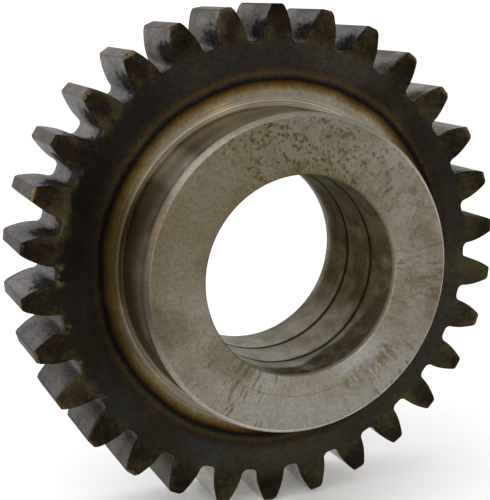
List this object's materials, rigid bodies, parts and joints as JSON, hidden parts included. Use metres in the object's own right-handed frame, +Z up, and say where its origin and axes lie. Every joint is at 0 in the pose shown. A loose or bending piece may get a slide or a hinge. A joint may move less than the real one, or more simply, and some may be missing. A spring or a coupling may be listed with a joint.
{
  "type": "spur gear",
  "caption": "Straight-toothed spur gear: a hardened toothed rim seated on a long chamfered hub, its plain bore lined by equal sleeves.",
  "frame": {"origin": "on the gear's axis, at the middle of its overall length", "axes": "+Y along the bore axis, away from the hub's nose; +Z up, with the gear standing upright"},
  "size_m": [0.1916, 0.062, 0.192],
  "materials": {
    "rim_steel": "heat-blackened, satin",
    "hub_steel": "turned, lightly stained",
    "front_sleeve_steel": "bored, satin",
    "middle_sleeve_steel": "bored, satin",
    "rear_sleeve_steel": "bored, satin"
  },
  "bodies": {
    "root": {"toothed_rim": "rim_steel", "hub": "hub_steel", "front_sleeve": "front_sleeve_steel", "middle_sleeve": "middle_sleeve_steel", "rear_sleeve": "rear_sleeve_steel"}
  },
  "joints": []
}
